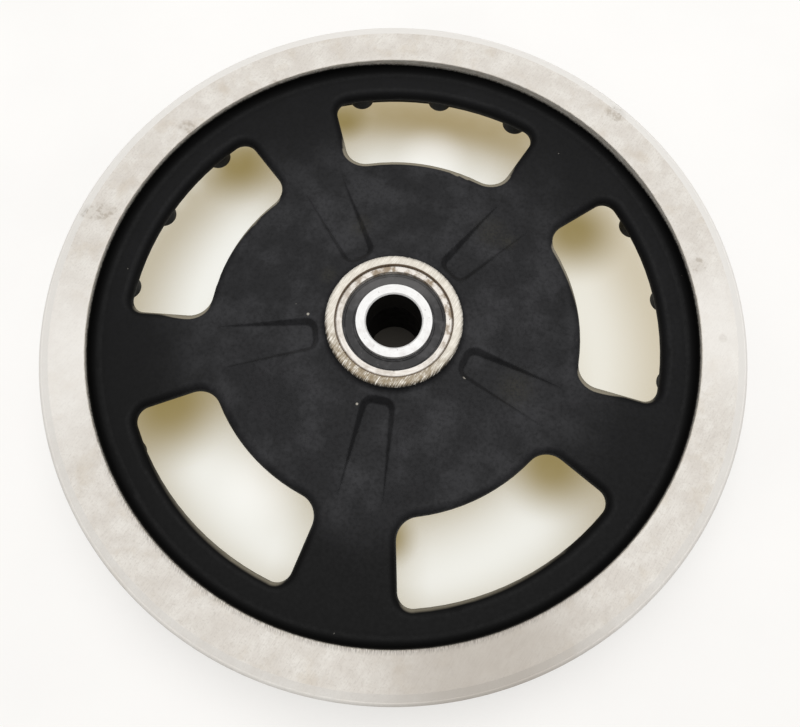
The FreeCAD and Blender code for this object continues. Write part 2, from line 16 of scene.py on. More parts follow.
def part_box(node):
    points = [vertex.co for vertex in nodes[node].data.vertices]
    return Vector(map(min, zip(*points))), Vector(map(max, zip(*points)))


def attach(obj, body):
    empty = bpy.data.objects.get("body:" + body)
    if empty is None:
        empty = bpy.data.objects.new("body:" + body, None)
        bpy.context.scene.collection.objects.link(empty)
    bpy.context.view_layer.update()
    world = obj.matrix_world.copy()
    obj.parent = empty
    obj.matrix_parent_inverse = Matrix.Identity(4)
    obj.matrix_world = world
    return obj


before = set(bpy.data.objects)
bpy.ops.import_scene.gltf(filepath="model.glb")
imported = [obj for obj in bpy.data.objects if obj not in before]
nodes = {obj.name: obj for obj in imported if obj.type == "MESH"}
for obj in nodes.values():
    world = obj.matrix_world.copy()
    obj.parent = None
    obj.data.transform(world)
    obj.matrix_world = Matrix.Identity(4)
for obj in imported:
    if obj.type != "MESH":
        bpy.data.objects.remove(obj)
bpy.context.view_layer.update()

# %% [markdown]
# ## Colours
# A photograph gives colours as screen values from 0 to 255, but Blender's shaders work with linear
# light. One small function does the change, so that every colour below can be read as a screen colour.

# %% Screen colour to linear colour
def screen(red, green, blue):
    """A shader colour from screen values of 0 to 255."""
    linear = []
    for value in (red, green, blue):
        share = value / 255
        linear.append(share / 12.92 if share <= 0.04045 else ((share + 0.055) / 1.055) ** 2.4)
    return (*linear, 1)


print("mid grey", screen(128, 128, 128))

# %% [markdown]
# ## Small helpers for node trees
# A material is a little circuit. Adding a node, setting its values and plugging in its links are the
# same three moves every time, so they are wrapped once: a value that is a socket becomes a link, and
# anything else becomes the socket's own setting.

# %% Node helpers: adding and filling
def fill(tree, socket, value):
    """Link another node's output to this input, or set the input's own value."""
    if isinstance(value, bpy.types.NodeSocket):
        tree.links.new(value, socket)
    else:
        socket.default_value = value


def add(tree, kind, inputs=None, **settings):
    """A new node, with its settings made and its inputs filled."""
    node = tree.nodes.new(kind)
    for name, value in settings.items():
        setattr(node, name, value)
    for key, value in (inputs or {}).items():
        fill(tree, node.inputs[key], value)
    return node


def new_group(name, inputs, outputs):
    """An empty shader group with named float (F) and vector (V) sockets."""
    kinds = {"F": "NodeSocketFloat", "V": "NodeSocketVector"}
    tree = bpy.data.node_groups.new(name, "ShaderNodeTree")
    for socket, kind in inputs:
        tree.interface.new_socket(socket, in_out="INPUT", socket_type=kinds[kind])
    for socket, kind in outputs:
        tree.interface.new_socket(socket, in_out="OUTPUT", socket_type=kinds[kind])
    return tree, tree.nodes.new("NodeGroupInput"), tree.nodes.new("NodeGroupOutput")


def use(tree, group, **inputs):
    """Place a group in a tree; underscores in the names stand for spaces."""
    node = add(tree, "ShaderNodeGroup", node_tree=group)
    for key, value in inputs.items():
        fill(tree, node.inputs[key.replace("_", " ")], value)
    return node


def mark(tree, group, **inputs):
    """Place a group that makes one mask, and give that mask."""
    return use(tree, group, **inputs).outputs[0]


print("helpers for nodes and groups")

# %% [markdown]
# The second set does sums. Masks are numbers from 0 to 1, so they are multiplied to narrow them down,
# and a smooth ramp turns a radius, a height or a noise into a mask. A coat lays one colour over another
# where a mask says so, and a list of spots makes a mask out of places chosen by hand.

# %% Node helpers: sums, masks and colours
MEASURES = ("LENGTH", "DISTANCE", "DOT_PRODUCT")


def calc(tree, operation, first, second=0.0, third=0.0):
    """One Math node; gives its output socket."""
    inputs = {0: first, 1: second, 2: third}
    return add(tree, "ShaderNodeMath", inputs, operation=operation).outputs[0]


def times(tree, first, *others):
    """The product of masks and numbers."""
    for other in others:
        first = calc(tree, "MULTIPLY", first, other)
    return first


def vector(tree, operation, first, second=None):
    """One Vector Math node; gives a vector, or a number if the operation measures something."""
    inputs = {0: first}
    if second is not None:
        inputs["Scale" if operation == "SCALE" else 1] = second
    node = add(tree, "ShaderNodeVectorMath", inputs, operation=operation)
    return node.outputs["Value" if operation in MEASURES else "Vector"]


def noise(tree, place, scale, detail, roughness=0.5):
    """The grey value of a Noise texture."""
    inputs = {"Vector": place, "Scale": scale, "Detail": detail, "Roughness": roughness}
    return add(tree, "ShaderNodeTexNoise", inputs).outputs["Fac"]


def ramp(tree, value, low, high, start=0.0, end=1.0):
    """A smooth step: start below low, end above high."""
    inputs = {"Value": value, "From Min": low, "From Max": high, "To Min": start, "To Max": end}
    return add(tree, "ShaderNodeMapRange", inputs, interpolation_type="SMOOTHSTEP").outputs["Result"]


def blend(tree, share, first, second):
    """A colour between two colours."""
    node = add(tree, "ShaderNodeMix", data_type="RGBA")
    for key, value in (("Factor", share), ("A", first), ("B", second)):
        fill(tree, [s for s in node.inputs if s.name == key and s.enabled][0], value)
    return [s for s in node.outputs if s.enabled][0]


def coat(tree, base, colour, mask, strength=1.0):
    """Lay a colour over a base where a mask says so, at most this strongly."""
    return blend(tree, times(tree, mask, strength), base, colour)


def spots(tree, mm, places, core=0.5):
    """A mask of round spots; each place is x, y, z and a reach in mm, full inside the core share of it."""
    total = None
    for x, y, z, reach in places:
        ball = ramp(tree, vector(tree, "DISTANCE", mm, (x, y, z)), reach, reach * core)
        total = ball if total is None else calc(tree, "MAXIMUM", total, ball)
    return total


print("helpers for sums, masks and colours")

# %% [markdown]
# ## Where on the wheel am I?
# Nearly every finish on a wheel follows its axle: paint stops at a radius, a machined face starts at a
# height, and lathe marks run round. This group turns Object coordinates into millimetres and gives the
# radius from the axle, the height, and the direction out from the axle.

# %% Group: place on the wheel
MM_PER_METRE = 1000.0
wheel_place, _, end = new_group(
    "wheel_place", [], [("Millimetres", "V"), ("Radius", "F"), ("Height", "F"), ("Outward", "V")])
spot = add(wheel_place, "ShaderNodeTexCoord").outputs["Object"]
mm = vector(wheel_place, "SCALE", spot, MM_PER_METRE)
split = add(wheel_place, "ShaderNodeSeparateXYZ", {0: mm})
flat = add(wheel_place, "ShaderNodeCombineXYZ", {0: split.outputs[0], 1: split.outputs[1]}).outputs[0]
wheel_place.links.new(mm, end.inputs["Millimetres"])
wheel_place.links.new(vector(wheel_place, "LENGTH", flat), end.inputs["Radius"])
wheel_place.links.new(split.outputs[2], end.inputs["Height"])
wheel_place.links.new(vector(wheel_place, "NORMALIZE", flat), end.inputs["Outward"])
print("group", wheel_place.name)

# %% [markdown]
# ## Marks that more than one finish needs
# Four effects come back again and again. *Turned lines* are the fine rings a lathe leaves: noise that
# changes fast along the radius and slowly round the wheel. *Sanding* is noise stretched along one
# direction. *Blotches* are soft clouds of stain or dust with a chosen size and coverage. *Specks* are
# small round spots, made from the cells of a Voronoi texture, of which only some are kept.

# %% Group: turned lines
turned_lines, start, end = new_group(
    "turned_lines",
    [("Outward", "V"), ("Radius", "F"), ("Height", "F"), ("Per mm", "F"), ("Round", "F")],
    [("Line", "F")])
depth = calc(turned_lines, "ADD", start.outputs["Radius"], start.outputs["Height"])
depth = times(turned_lines, depth, start.outputs["Per mm"])
swept = vector(turned_lines, "SCALE", start.outputs["Outward"], start.outputs["Round"])
lift = add(turned_lines, "ShaderNodeCombineXYZ", {2: depth}).outputs[0]
line = noise(turned_lines, vector(turned_lines, "ADD", swept, lift), 1.0, 3.0, 0.6)
turned_lines.links.new(line, end.inputs["Line"])
print("group", turned_lines.name)

# %% Group: sanding along one direction
sanding, start, end = new_group(
    "sanding", [("Millimetres", "V"), ("Turn", "F"), ("Length", "F"), ("Width", "F")], [("Scratch", "F")])
turned = add(
    sanding, "ShaderNodeVectorRotate", rotation_type="Z_AXIS",
    inputs={"Vector": start.outputs["Millimetres"], "Angle": start.outputs["Turn"]}).outputs[0]
along = calc(sanding, "DIVIDE", 1.0, start.outputs["Length"])
across = calc(sanding, "DIVIDE", 1.0, start.outputs["Width"])
stretch = add(sanding, "ShaderNodeCombineXYZ", {0: along, 1: across, 2: along}).outputs[0]
scratch = noise(sanding, vector(sanding, "MULTIPLY", turned, stretch), 1.0, 4.0, 0.65)
sanding.links.new(scratch, end.inputs["Scratch"])
print("group", sanding.name)

# %% Group: blotches
blotches, start, end = new_group(
    "blotches", [("Millimetres", "V"), ("Size", "F"), ("From", "F"), ("To", "F"), ("Shift", "F")],
    [("Mask", "F")])
moved = vector(blotches, "ADD", start.outputs["Millimetres"], start.outputs["Shift"])
cloud = noise(blotches, moved, calc(blotches, "DIVIDE", 1.0, start.outputs["Size"]), 5.0, 0.6)
mask = ramp(blotches, cloud, start.outputs["From"], start.outputs["To"])
blotches.links.new(mask, end.inputs["Mask"])
print("group", blotches.name)

# %% Group: specks
specks, start, end = new_group(
    "specks", [("Millimetres", "V"), ("Spacing", "F"), ("Size", "F"), ("Kept", "F")], [("Mask", "F")])
mm, spacing = start.outputs["Millimetres"], start.outputs["Spacing"]
wobble = add(specks, "ShaderNodeTexNoise", {"Vector": mm, "Scale": 1.3, "Detail": 2.0}).outputs["Color"]
bent = vector(specks, "ADD", mm, wobble)
scale = calc(specks, "DIVIDE", 1.0, spacing)
cells = add(specks, "ShaderNodeTexVoronoi", {"Vector": bent, "Scale": scale, "Randomness": 1.0}, feature="F1")
gap = times(specks, cells.outputs["Distance"], spacing)
close = calc(specks, "LESS_THAN", gap, start.outputs["Size"])
lucky = add(specks, "ShaderNodeSeparateColor", {0: cells.outputs["Color"]}).outputs[0]
kept = calc(specks, "LESS_THAN", lucky, start.outputs["Kept"])
specks.links.new(times(specks, close, kept), end.inputs["Mask"])
print("group", specks.name)

# %% [markdown]
# ## One material per finish
# Every finish starts the same way: a new material whose Principled shader is ready to be fed. Numbers
# that are the same all over, such as how strongly a clear surface mirrors, are set on the shader itself.

# %% Start a finish
def new_finish(name, **settings):
    """A material with a Principled shader, its uniform values set; gives material, tree and shader."""
    material = bpy.data.materials.new(name)
    material.use_nodes = True
    tree = material.node_tree
    shader = tree.nodes["Principled BSDF"]
    for key, value in settings.items():
        shader.inputs[key.replace("_", " ")].default_value = value
    return material, tree, shader


def feed(tree, shader, **sockets):
    """Plug sockets into the shader; underscores in the names stand for spaces."""
    for key, value in sockets.items():
        tree.links.new(value, shader.inputs[key.replace("_", " ")])


def dress(node_names, material):
    """Give CAD nodes this one material."""
    for name in node_names:
        slots = nodes[name].data.materials
        slots.clear()
        slots.append(material)
    print(material.name, "on", len(node_names), "node(s)")


# %% [markdown]
# ## The casting: black paint and bare metal
# The wheel was cast in aluminium and painted satin black all over, and then a lathe cut away the paint
# on the flange, on the hub boss and at the teeth. Two materials on two sets of faces would give a razor
# edge between them. On the real part that edge is ragged, so one material carries both finishes, and a
# mask made of radius, height and a little noise chooses between them. On the far side of the wheel the
# tool cut a little deeper. Each edge below is a pair of millimetres: painted at the first, bare at the
# second. NEAR and FAR are directions out from the axle, and the rub marks slant by an angle in radians.

# %% Casting: where the paint is missing
FLANGE_INSIDE, FLANGE_FACE, FLANGE_OUTSIDE = (135.3, 135.4), (45.2, 47.2), (149.9, 150.0)
BELT_RADIUS, BELT_HEIGHT = (138.6, 139.0), (44.3, 44.1)
BOSS_RADIUS, BOSS_FACE = (32.4, 31.6), (48.5, 49.5)
HUB_END_RADIUS, HUB_END_FACE = (34.4, 34.3), (24.06, 24.03)
LUG_END, SEAT = (1.35, 1.15), (26.4, 26.38)
NEAR, FAR = (-0.1, -1.0, 0), (0.35, 0.94, 0)
RUB_TURN = -1.16

casting_finish, tree, shader = new_finish(
    "black_paint", Specular_IOR_Level=0.105, IOR=1.5, Sheen_Weight=0.05, Sheen_Roughness=0.35,
    Sheen_Tint=(1.0, 0.93, 0.8, 1))
place = use(tree, wheel_place)
mm, radius, height, outward = (place.outputs[k] for k in ("Millimetres", "Radius", "Height", "Outward"))
near_side, far_side = (vector(tree, "DOT_PRODUCT", outward, way) for way in (NEAR, FAR))
fray = noise(tree, mm, 1.1, 3.0, 0.7)
frayed_height = calc(tree, "MULTIPLY_ADD", fray, 2.4, height)
cut_height = calc(tree, "ADD", frayed_height, ramp(tree, far_side, 0.7, 0.95, -1.3, 0.2))
strokes = mark(tree, sanding, Millimetres=mm, Turn=RUB_TURN, Length=5.0, Width=0.45)
ragged_radius = calc(tree, "MULTIPLY_ADD", strokes, 3.0, radius)
belt_side = times(tree, ramp(tree, radius, *BELT_RADIUS), ramp(tree, height, *BELT_HEIGHT))
bare = times(tree, ramp(tree, radius, *FLANGE_INSIDE), ramp(tree, cut_height, *FLANGE_FACE))
for area in (
        belt_side,
        ramp(tree, radius, *FLANGE_OUTSIDE),
        times(tree, ramp(tree, ragged_radius, *BOSS_RADIUS), ramp(tree, frayed_height, *BOSS_FACE)),
        times(tree, ramp(tree, radius, *HUB_END_RADIUS), ramp(tree, height, *HUB_END_FACE)),
        ramp(tree, frayed_height, *LUG_END),
        ramp(tree, radius, *SEAT)):
    bare = calc(tree, "MAXIMUM", bare, area)
print("bare areas: flange, teeth, boss, hub end, lug ends, bearing seat")

# %% [markdown]
# The paint itself is not one black. A thin veil of dust makes the web a little greyer than the rim, the
# near side is darkened as painted shade, and painted shade darkens the corner under the flange.

# %% Casting: the paint
dust = mark(tree, blotches, Millimetres=mm, Size=20.0, From=0.36, To=0.72, Shift=3.0)
veil = times(tree, ramp(tree, dust, 0.0, 1.0, 0.4, 0.9), ramp(tree, radius, 120.0, 66.0, 0.08, 1.0))
paint = blend(tree, veil, screen(15, 15, 16), screen(56, 56, 58))
# Painted shade: the outer paint on the near side is made darker.
near_side_shade = times(tree, ramp(tree, near_side, 0.0, 0.8), ramp(tree, radius, 88.0, 104.0))
paint = coat(tree, paint, screen(12, 12, 12), near_side_shade, 0.85)
mottle = noise(tree, mm, 0.6, 4.0, 0.7)
paint = coat(tree, paint, screen(14, 14, 14), ramp(tree, mottle, 0.42, 0.7), 0.35)
# Painted shade: the paint is darkened next to the flange wall, where shade falls.
corner = times(tree, ramp(tree, radius, 129.0, 134.5), ramp(tree, radius, 136.0, 135.6))
paint = coat(tree, paint, screen(6, 6, 6), corner, 0.8)
print("paint layers: veil of dust, wiped side, mottle, corner dirt")

# %% [markdown]
# Soft olive scuffs cross the spokes, and tiny nicks show the metal below. The marks that stand out are
# placed one by one, each as a soft ball-shaped mask round a point. A pale painted highlight lies on the
# window edges that look to the far side, chosen by their normal.

# %% Casting: marks on the paint
scuffs = spots(tree, mm, [
    (36.8, 53.9, 40.4, 11), (44.5, 50.5, 40.4, 7), (-24.6, 45.1, 42.5, 8), (-33.5, 17.3, 44, 6),
    (58, -19, 40.4, 12)], 0.0)
paint = coat(tree, paint, screen(58, 56, 49), times(tree, scuffs, ramp(tree, fray, 0.3, 0.65)), 0.6)
nicks = spots(tree, mm, [
    (-38.7, -2.9, 44, 0.8), (-40.9, -16.3, 43.5, 0.7), (64.6, -26.8, 41.7, 1.0), (-9.0, -39.2, 44, 0.7),
    (4.3, -37.2, 44.2, 0.6), (35.1, -18.8, 44, 1.1)])
tiny = mark(tree, specks, Millimetres=mm, Spacing=9.0, Size=0.25, Kept=0.1)
nicks = calc(tree, "MAXIMUM", nicks, times(tree, tiny, 0.4))
paint = coat(tree, paint, screen(190, 184, 172), nicks, 0.8)
normal = add(tree, "ShaderNodeTexCoord").outputs["Normal"]
facing = add(tree, "ShaderNodeSeparateXYZ", {0: normal}).outputs[1]
tilt = times(tree, facing, ramp(tree, radius, 108.0, 92.0, 1.0, 3.0))
# Painted highlight: pale colour on the window edges that face the far side.
painted_edge_highlight = times(
    tree, ramp(tree, height, 40.38, 40.2), ramp(tree, height, 35.0, 36.0),
    ramp(tree, radius, 126.5, 125.5), ramp(tree, tilt, 0.55, 0.9))
paint = coat(tree, paint, screen(160, 152, 134), painted_edge_highlight, 0.8)
print("marks on the paint: scuffs, nicks, pale film")

# %% [markdown]
# The bare metal is aluminium that was turned, then rubbed across in one direction, and has been handled
# since. Faint light and dark clouds come first, then the slanting rub marks, weak brown stains, a fine
# grain and small patches. Two stretches of the ring are painted brighter, as painted light.

# %% Casting: the bare metal
clouds = mark(tree, blotches, Millimetres=mm, Size=9.0, From=0.3, To=0.72, Shift=40.0)
metal = blend(tree, clouds, screen(221, 215, 207), screen(235, 231, 224))
rub = mark(tree, sanding, Millimetres=mm, Turn=RUB_TURN, Length=6.0, Width=0.5)
metal = coat(tree, metal, screen(200, 194, 186), ramp(tree, rub, 0.45, 0.75), 0.35)
stains = mark(tree, blotches, Millimetres=mm, Size=12.0, From=0.5, To=0.74, Shift=11.0)
metal = coat(tree, metal, screen(206, 194, 177), stains, 0.45)
grain = noise(tree, mm, 1.1, 5.0, 0.65)
metal = coat(tree, metal, screen(196, 189, 180), ramp(tree, grain, 0.5, 0.68), 0.4)
patches = mark(tree, blotches, Millimetres=mm, Size=2.4, From=0.46, To=0.66, Shift=92.0)
metal = coat(tree, metal, screen(204, 196, 186), patches, 0.15)
# Painted light: two stretches of the ring are made brighter.
painted_light = spots(tree, mm, [(147, 22, 48, 46), (-143, -45, 48, 60)], 0.15)
metal = coat(tree, metal, screen(246, 243, 238), painted_light, 0.6)
print("metal layers: clouds, rub marks, stains, grain, patches, wiped places")

# %% [markdown]
# The flange has details of its own. Its outer bevel is painted brighter as a painted highlight, less so on
# the near side. Its inner wall shows streaks from the lathe. A few brown smears are placed one by one, a
# broad stretch on the near side is darkened as painted shade, and short dark ticks fringe the inner edge
# on the near side.

# %% Casting: details of the flange
# Painted highlight: the outer bevel is made brighter, less so on the near side.
bevel = times(tree, ramp(tree, radius, 150.9, 151.4), ramp(tree, near_side, -0.5, 0.6, 1.0, 0.5))
metal = coat(tree, metal, screen(244, 241, 236), bevel)
streaks = mark(
    tree, turned_lines, Outward=outward, Radius=radius, Height=height, Per_mm=3.0, Round=40.0)
wall = times(tree, ramp(tree, radius, 135.9, 135.6), ramp(tree, radius, 120.0, 121.0))
wall_tint = blend(tree, ramp(tree, streaks, 0.35, 0.65), screen(214, 205, 190), screen(250, 245, 236))
metal = coat(tree, metal, wall_tint, wall)
smears = spots(tree, mm, [
    (-148, 26, 48, 5), (-142, 27.5, 48, 6), (-137.5, 28.5, 48, 3), (130.5, 50.9, 48, 5),
    (143.6, 18.2, 48, 2.5), (86, 123, 48, 6), (-79.3, 108.3, 48, 4), (-115.3, 77.7, 48, 5)])
smears = times(tree, smears, ramp(tree, patches, 0.0, 1.0, 0.3, 1.0))
metal = coat(tree, metal, screen(160, 148, 132), smears, 0.5)
# Painted shade: a broad stretch of the ring on the near side is made darker.
greyer = spots(tree, mm, [(62, -132, 48, 66)], 0.15)
metal = coat(tree, metal, screen(184, 176, 166), greyer, 0.75)
ticks = mark(tree, sanding, Millimetres=mm, Turn=1.5, Length=3.0, Width=0.45)
ticks = times(
    tree, ramp(tree, ticks, 0.4, 0.62), ramp(tree, radius, 138.0, 135.6), ramp(tree, near_side, 0.4, 0.95))
metal = coat(tree, metal, screen(96, 90, 84), ticks, 0.55)
print("flange details: bevel, wall streaks, smears, greyer stretch, ticks")

# %% [markdown]
# The boss round the bearing was rubbed harder and holds more dirt: grime in the rub marks, caked patches
# on the near side, and a dark outer edge. Rust from the bearing has crept up the wall of its seat, and
# belt dust darkens the bottoms of the tooth grooves.

# %% Casting: boss, bearing seat and teeth
boss = ramp(tree, radius, 32.0, 31.5)
metal = coat(tree, metal, screen(247, 242, 231), boss, 0.85)
grime = times(tree, ramp(tree, strokes, 0.36, 0.58), ramp(tree, near_side, 0.1, 0.95, 0.3, 1.0), boss)
metal = coat(tree, metal, screen(134, 118, 92), grime, 0.85)
cake = mark(tree, blotches, Millimetres=mm, Size=2.6, From=0.4, To=0.6, Shift=63.0)
cake = times(tree, cake, boss, ramp(tree, near_side, 0.2, 0.9, 0.1, 0.8))
metal = coat(tree, metal, screen(146, 130, 104), cake)
edge_dirt = times(
    tree, ramp(tree, radius, 28.8, 30.4), boss, ramp(tree, near_side, -0.6, 0.8, 0.25, 1.0),
    ramp(tree, strokes, 0.36, 0.56))
metal = coat(tree, metal, screen(92, 80, 62), edge_dirt)
rust = times(tree, ramp(tree, radius, 26.5, 26.3), ramp(tree, height, 40.0, 44.0))
metal = coat(tree, metal, screen(98, 76, 52), rust, 0.9)
belt_dust = times(tree, ramp(tree, radius, 149.6, 145.0), belt_side)
metal = coat(tree, metal, screen(92, 89, 85), belt_dust, 0.75)
print("boss rubbed, with grime, cake and a dirty edge; rust in the seat; dust in the teeth")

# %% [markdown]
# Last, the two finishes are joined. Paint is a dull dielectric with a fine cast bump. The rubbed aluminium
# is so finely scratched that it scatters light like a matt surface, so it is only a little metallic. A
# Bevel node rounds the look of every sharp edge: widely in the paint, which flowed over cast corners, and
# on the inner wall of the flange, and by a quarter of a millimetre on the outer part of the flange, where
# the lathe cut a crisp edge.

# %% Casting: join paint and metal
PAINT_ROUND, LATHE_ROUND = 0.0013, 0.00025
METAL_SHARE = 0.2


def join(tree, mask, first, second):
    """A number between two numbers."""
    return calc(tree, "MULTIPLY_ADD", mask, calc(tree, "SUBTRACT", second, first), first)


colour = blend(tree, bare, paint, metal)
rough = join(tree, bare, ramp(tree, mottle, 0.3, 0.7, 0.48, 0.58), ramp(tree, rub, 0.3, 0.7, 0.5, 0.64))
crisp = times(tree, bare, ramp(tree, radius, 136.4, 137.2))
round_over = join(tree, crisp, PAINT_ROUND, LATHE_ROUND)
rounded = add(tree, "ShaderNodeBevel", {"Radius": round_over}, samples=4).outputs[0]
bump = add(tree, "ShaderNodeBump", {
    "Height": join(tree, bare, mottle, rub), "Normal": rounded, "Strength": 0.4, "Distance": 0.00008})
feed(tree, shader, Base_Color=colour, Metallic=times(tree, bare, METAL_SHARE), Roughness=rough,
     Normal=bump.outputs[0])
dress(["sprocket_casting"], casting_finish)

# %% [markdown]
# ## The rounded edge of the flange
# The lathe hand broke the outer edge of the flange to a soft round. The frame draws that round with long
# facets, and against the pale table their corners give a wavy outline. A finer skin is laid over it: one
# point is spun about the middle of the round to make a quarter arc, the arc is closed at that middle, and
# the small wedge is spun round the axle. It lies on the same round, a hair inside the widest point, so no
# size changes.

# %% Flange edge
EDGE_ROUND, EDGE_HEIGHT = 0.0018, 0.0455
HAIR, MERGE_GAP = 0.000002, 0.000001
ARC_STEPS, TURN_STEPS = 10, 480
flange_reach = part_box("sprocket_casting")[1][0] - HAIR
middle = (flange_reach - EDGE_ROUND, 0.0, EDGE_HEIGHT)
wedge = bmesh.new()
first = wedge.verts.new((flange_reach, 0.0, EDGE_HEIGHT))
arc = bmesh.ops.spin(
    wedge, geom=[first], cent=middle, axis=(0, -1, 0), dvec=(0, 0, 0), angle=math.pi / 2, steps=ARC_STEPS)
last = [v for v in arc["geom_last"] if isinstance(v, bmesh.types.BMVert)][0]
centre = wedge.verts.new(middle)
wedge.edges.new((last, centre))
wedge.edges.new((centre, first))
bmesh.ops.spin(
    wedge, geom=wedge.verts[:] + wedge.edges[:], cent=(0, 0, 0), axis=(0, 0, 1), dvec=(0, 0, 0),
    angle=math.tau, steps=TURN_STEPS, use_merge=True)
bmesh.ops.remove_doubles(wedge, verts=wedge.verts[:], dist=MERGE_GAP)
bmesh.ops.recalc_face_normals(wedge, faces=wedge.faces[:])
for face in wedge.faces:
    face.smooth = True
edge_mesh = bpy.data.meshes.new("flange_edge")
wedge.to_mesh(edge_mesh)
wedge.free()
edge_mesh.materials.append(casting_finish)
flange_edge_ring = bpy.data.objects.new("flange_edge", edge_mesh)
bpy.context.scene.collection.objects.link(flange_edge_ring)
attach(flange_edge_ring, "sprocket")
edge_size = tuple(round(v, 4) for v in flange_edge_ring.dimensions)
print("flange edge", len(edge_mesh.polygons), "faces", edge_size)

# %% [markdown]
# ## The bearing
# All of its steel is ground, with fine lines that run round the axle and some stains, and the bore is
# painted nearly black as painted shade. The outer ring sits in a dirty corner, so it carries brown stains
# on the far side, where dirt collected. The inner ring is bright from the axle, and the grey on its near
# side is painted shade.

# %% Ground steel
BORE_SHADE_RADIUS, BORE_SHADE_HEIGHT = (12.65, 12.55), (47.2, 46.8)


def ground_steel(name, metallic, bright, dull, rough_range, stain_and_shade_amount, stain_and_shade_colour, stain_and_shade_side=FAR):
    """Ground steel with lines round the axle and soft marks on one side: stains, and on the inner ring
    painted shade; the amount sets how much of it is marked.
    """
    material, tree, shader = new_finish(name, IOR=1.5, Metallic=metallic)
    place = use(tree, wheel_place)
    mm, radius, height, outward = (place.outputs[k] for k in ("Millimetres", "Radius", "Height", "Outward"))
    fine = mark(tree, turned_lines, Per_mm=5.0, Round=6.0, Outward=outward, Radius=radius, Height=height)
    colour = blend(tree, ramp(tree, fine, 0.35, 0.7), bright, dull)
    cloud = mark(tree, blotches, Millimetres=mm, Size=4.0, From=0.42, To=0.62, Shift=21.0)
    # One side is marked: stains on most parts, and on the inner ring painted shade on its near side.
    side = vector(tree, "DOT_PRODUCT", outward, stain_and_shade_side)
    stain_and_shade = times(tree, cloud, stain_and_shade_amount, ramp(tree, side, -0.4, 0.7, 0.3, 1.0))
    colour = coat(tree, colour, stain_and_shade_colour, stain_and_shade)
    dots = mark(tree, specks, Millimetres=mm, Spacing=2.2, Size=0.35, Kept=0.25)
    colour = coat(tree, colour, screen(70, 60, 50), dots, stain_and_shade_amount)
    # Painted shade: the bore below the front face is made nearly black.
    bore_shade = times(tree, ramp(tree, radius, *BORE_SHADE_RADIUS), ramp(tree, height, *BORE_SHADE_HEIGHT))
    colour = coat(tree, colour, screen(26, 24, 22), bore_shade)
    rough = ramp(tree, calc(tree, "ADD", fine, stain_and_shade), 0.3, 1.2, *rough_range)
    bump = add(tree, "ShaderNodeBump", {"Height": fine, "Strength": 0.35, "Distance": 0.00003})
    feed(tree, shader, Base_Color=colour, Roughness=rough, Normal=bump.outputs[0])
    return material


print("one recipe for all the steel of the bearing")

# %% Bearing steel
balls = sorted(n for n in nodes if "ball" in n)
rivets = sorted(n for n in nodes if "rivet" in n)
cages = sorted(n for n in nodes if "cage" in n and "rivet" not in n)
dress(["bearing_outer_ring"], ground_steel(
    "bearing_steel", 0.15, screen(236, 231, 224), screen(212, 205, 195), (0.45, 0.62),
    0.85, screen(140, 118, 88)))
# Painted shade: the grey marks of the inner ring lie on its near side.
dress(["bearing_inner_ring"], ground_steel(
    "inner_ring_steel", 0.12, screen(240, 240, 239), screen(231, 230, 228), (0.44, 0.55),
    0.25, screen(186, 176, 170), stain_and_shade_side=(0.2, -0.98, 0)))
# The sleeve is dark steel, and its near-black colour is also painted shade deep in the bore.
dress(["spacer_sleeve"], ground_steel(
    "sleeve_steel", 0.6, screen(46, 44, 41), screen(30, 29, 27), (0.5, 0.7), 0.4, screen(36, 30, 24)))
dress(balls, ground_steel(
    "ball_steel", 1.0, screen(246, 246, 246), screen(236, 236, 236), (0.12, 0.22),
    0.1, screen(170, 150, 110)))
dress(cages + rivets, ground_steel(
    "cage_steel", 1.0, screen(206, 203, 198), screen(170, 166, 160), (0.34, 0.55),
    0.35, screen(150, 128, 84)))

# %% [markdown]
# ## The rubber seals
# Nitrile rubber is a dark blue-grey and nearly dull. Fingers and old grease leave pale smudges on it,
# which are broad blotches, and it is made lighter towards its far side.

# %% Seal rubber
LIGHTER_SIDE = (-0.2, 0.98, 0)
seal_finish, tree, shader = new_finish("seal_rubber", Specular_IOR_Level=0.3, IOR=1.5)
place = use(tree, wheel_place)
mm, outward = place.outputs["Millimetres"], place.outputs["Outward"]
smudge = mark(tree, blotches, Millimetres=mm, Size=5.0, From=0.45, To=0.75, Shift=77.0)
colour = blend(tree, smudge, screen(38, 37, 38), screen(88, 87, 88))
# The seal is made lighter towards its far side.
toward_lighter_side = vector(tree, "DOT_PRODUCT", outward, LIGHTER_SIDE)
colour = coat(tree, colour, screen(122, 120, 119), ramp(tree, toward_lighter_side, 0.2, 1.0), 0.4)
grains = mark(tree, specks, Millimetres=mm, Spacing=1.6, Size=0.16, Kept=0.25)
colour = coat(tree, colour, screen(136, 134, 130), grains, 0.5)
skin = noise(tree, mm, 2.5, 3.0)
bump = add(tree, "ShaderNodeBump", {"Height": skin, "Strength": 0.3, "Distance": 0.00005})
rough = ramp(tree, smudge, 0.0, 1.0, 0.5, 0.72)
feed(tree, shader, Base_Color=colour, Roughness=rough, Normal=bump.outputs[0])
dress(["bearing_front_seal", "bearing_rear_seal"], seal_finish)

# %% [markdown]
# ## Floor, light and camera
# The wheel lies on a pale cream table that is lit almost to white. The floor is one wide grid from a
# bmesh operator, a hair below the wheel.

# %% Floor shape
FLOOR_HALF_SIZE, FLOOR_DROP = 30.0, 0.00005
floor_shape = bmesh.new()
bmesh.ops.create_grid(floor_shape, x_segments=1, y_segments=1, size=FLOOR_HALF_SIZE)
bmesh.ops.translate(floor_shape, verts=floor_shape.verts, vec=(0, 0, -FLOOR_DROP))
floor_mesh = bpy.data.meshes.new("floor")
floor_shape.to_mesh(floor_mesh)
floor_shape.free()
floor = bpy.data.objects.new("floor", floor_mesh)
bpy.context.scene.collection.objects.link(floor)
print("floor", tuple(round(v, 3) for v in floor.dimensions))
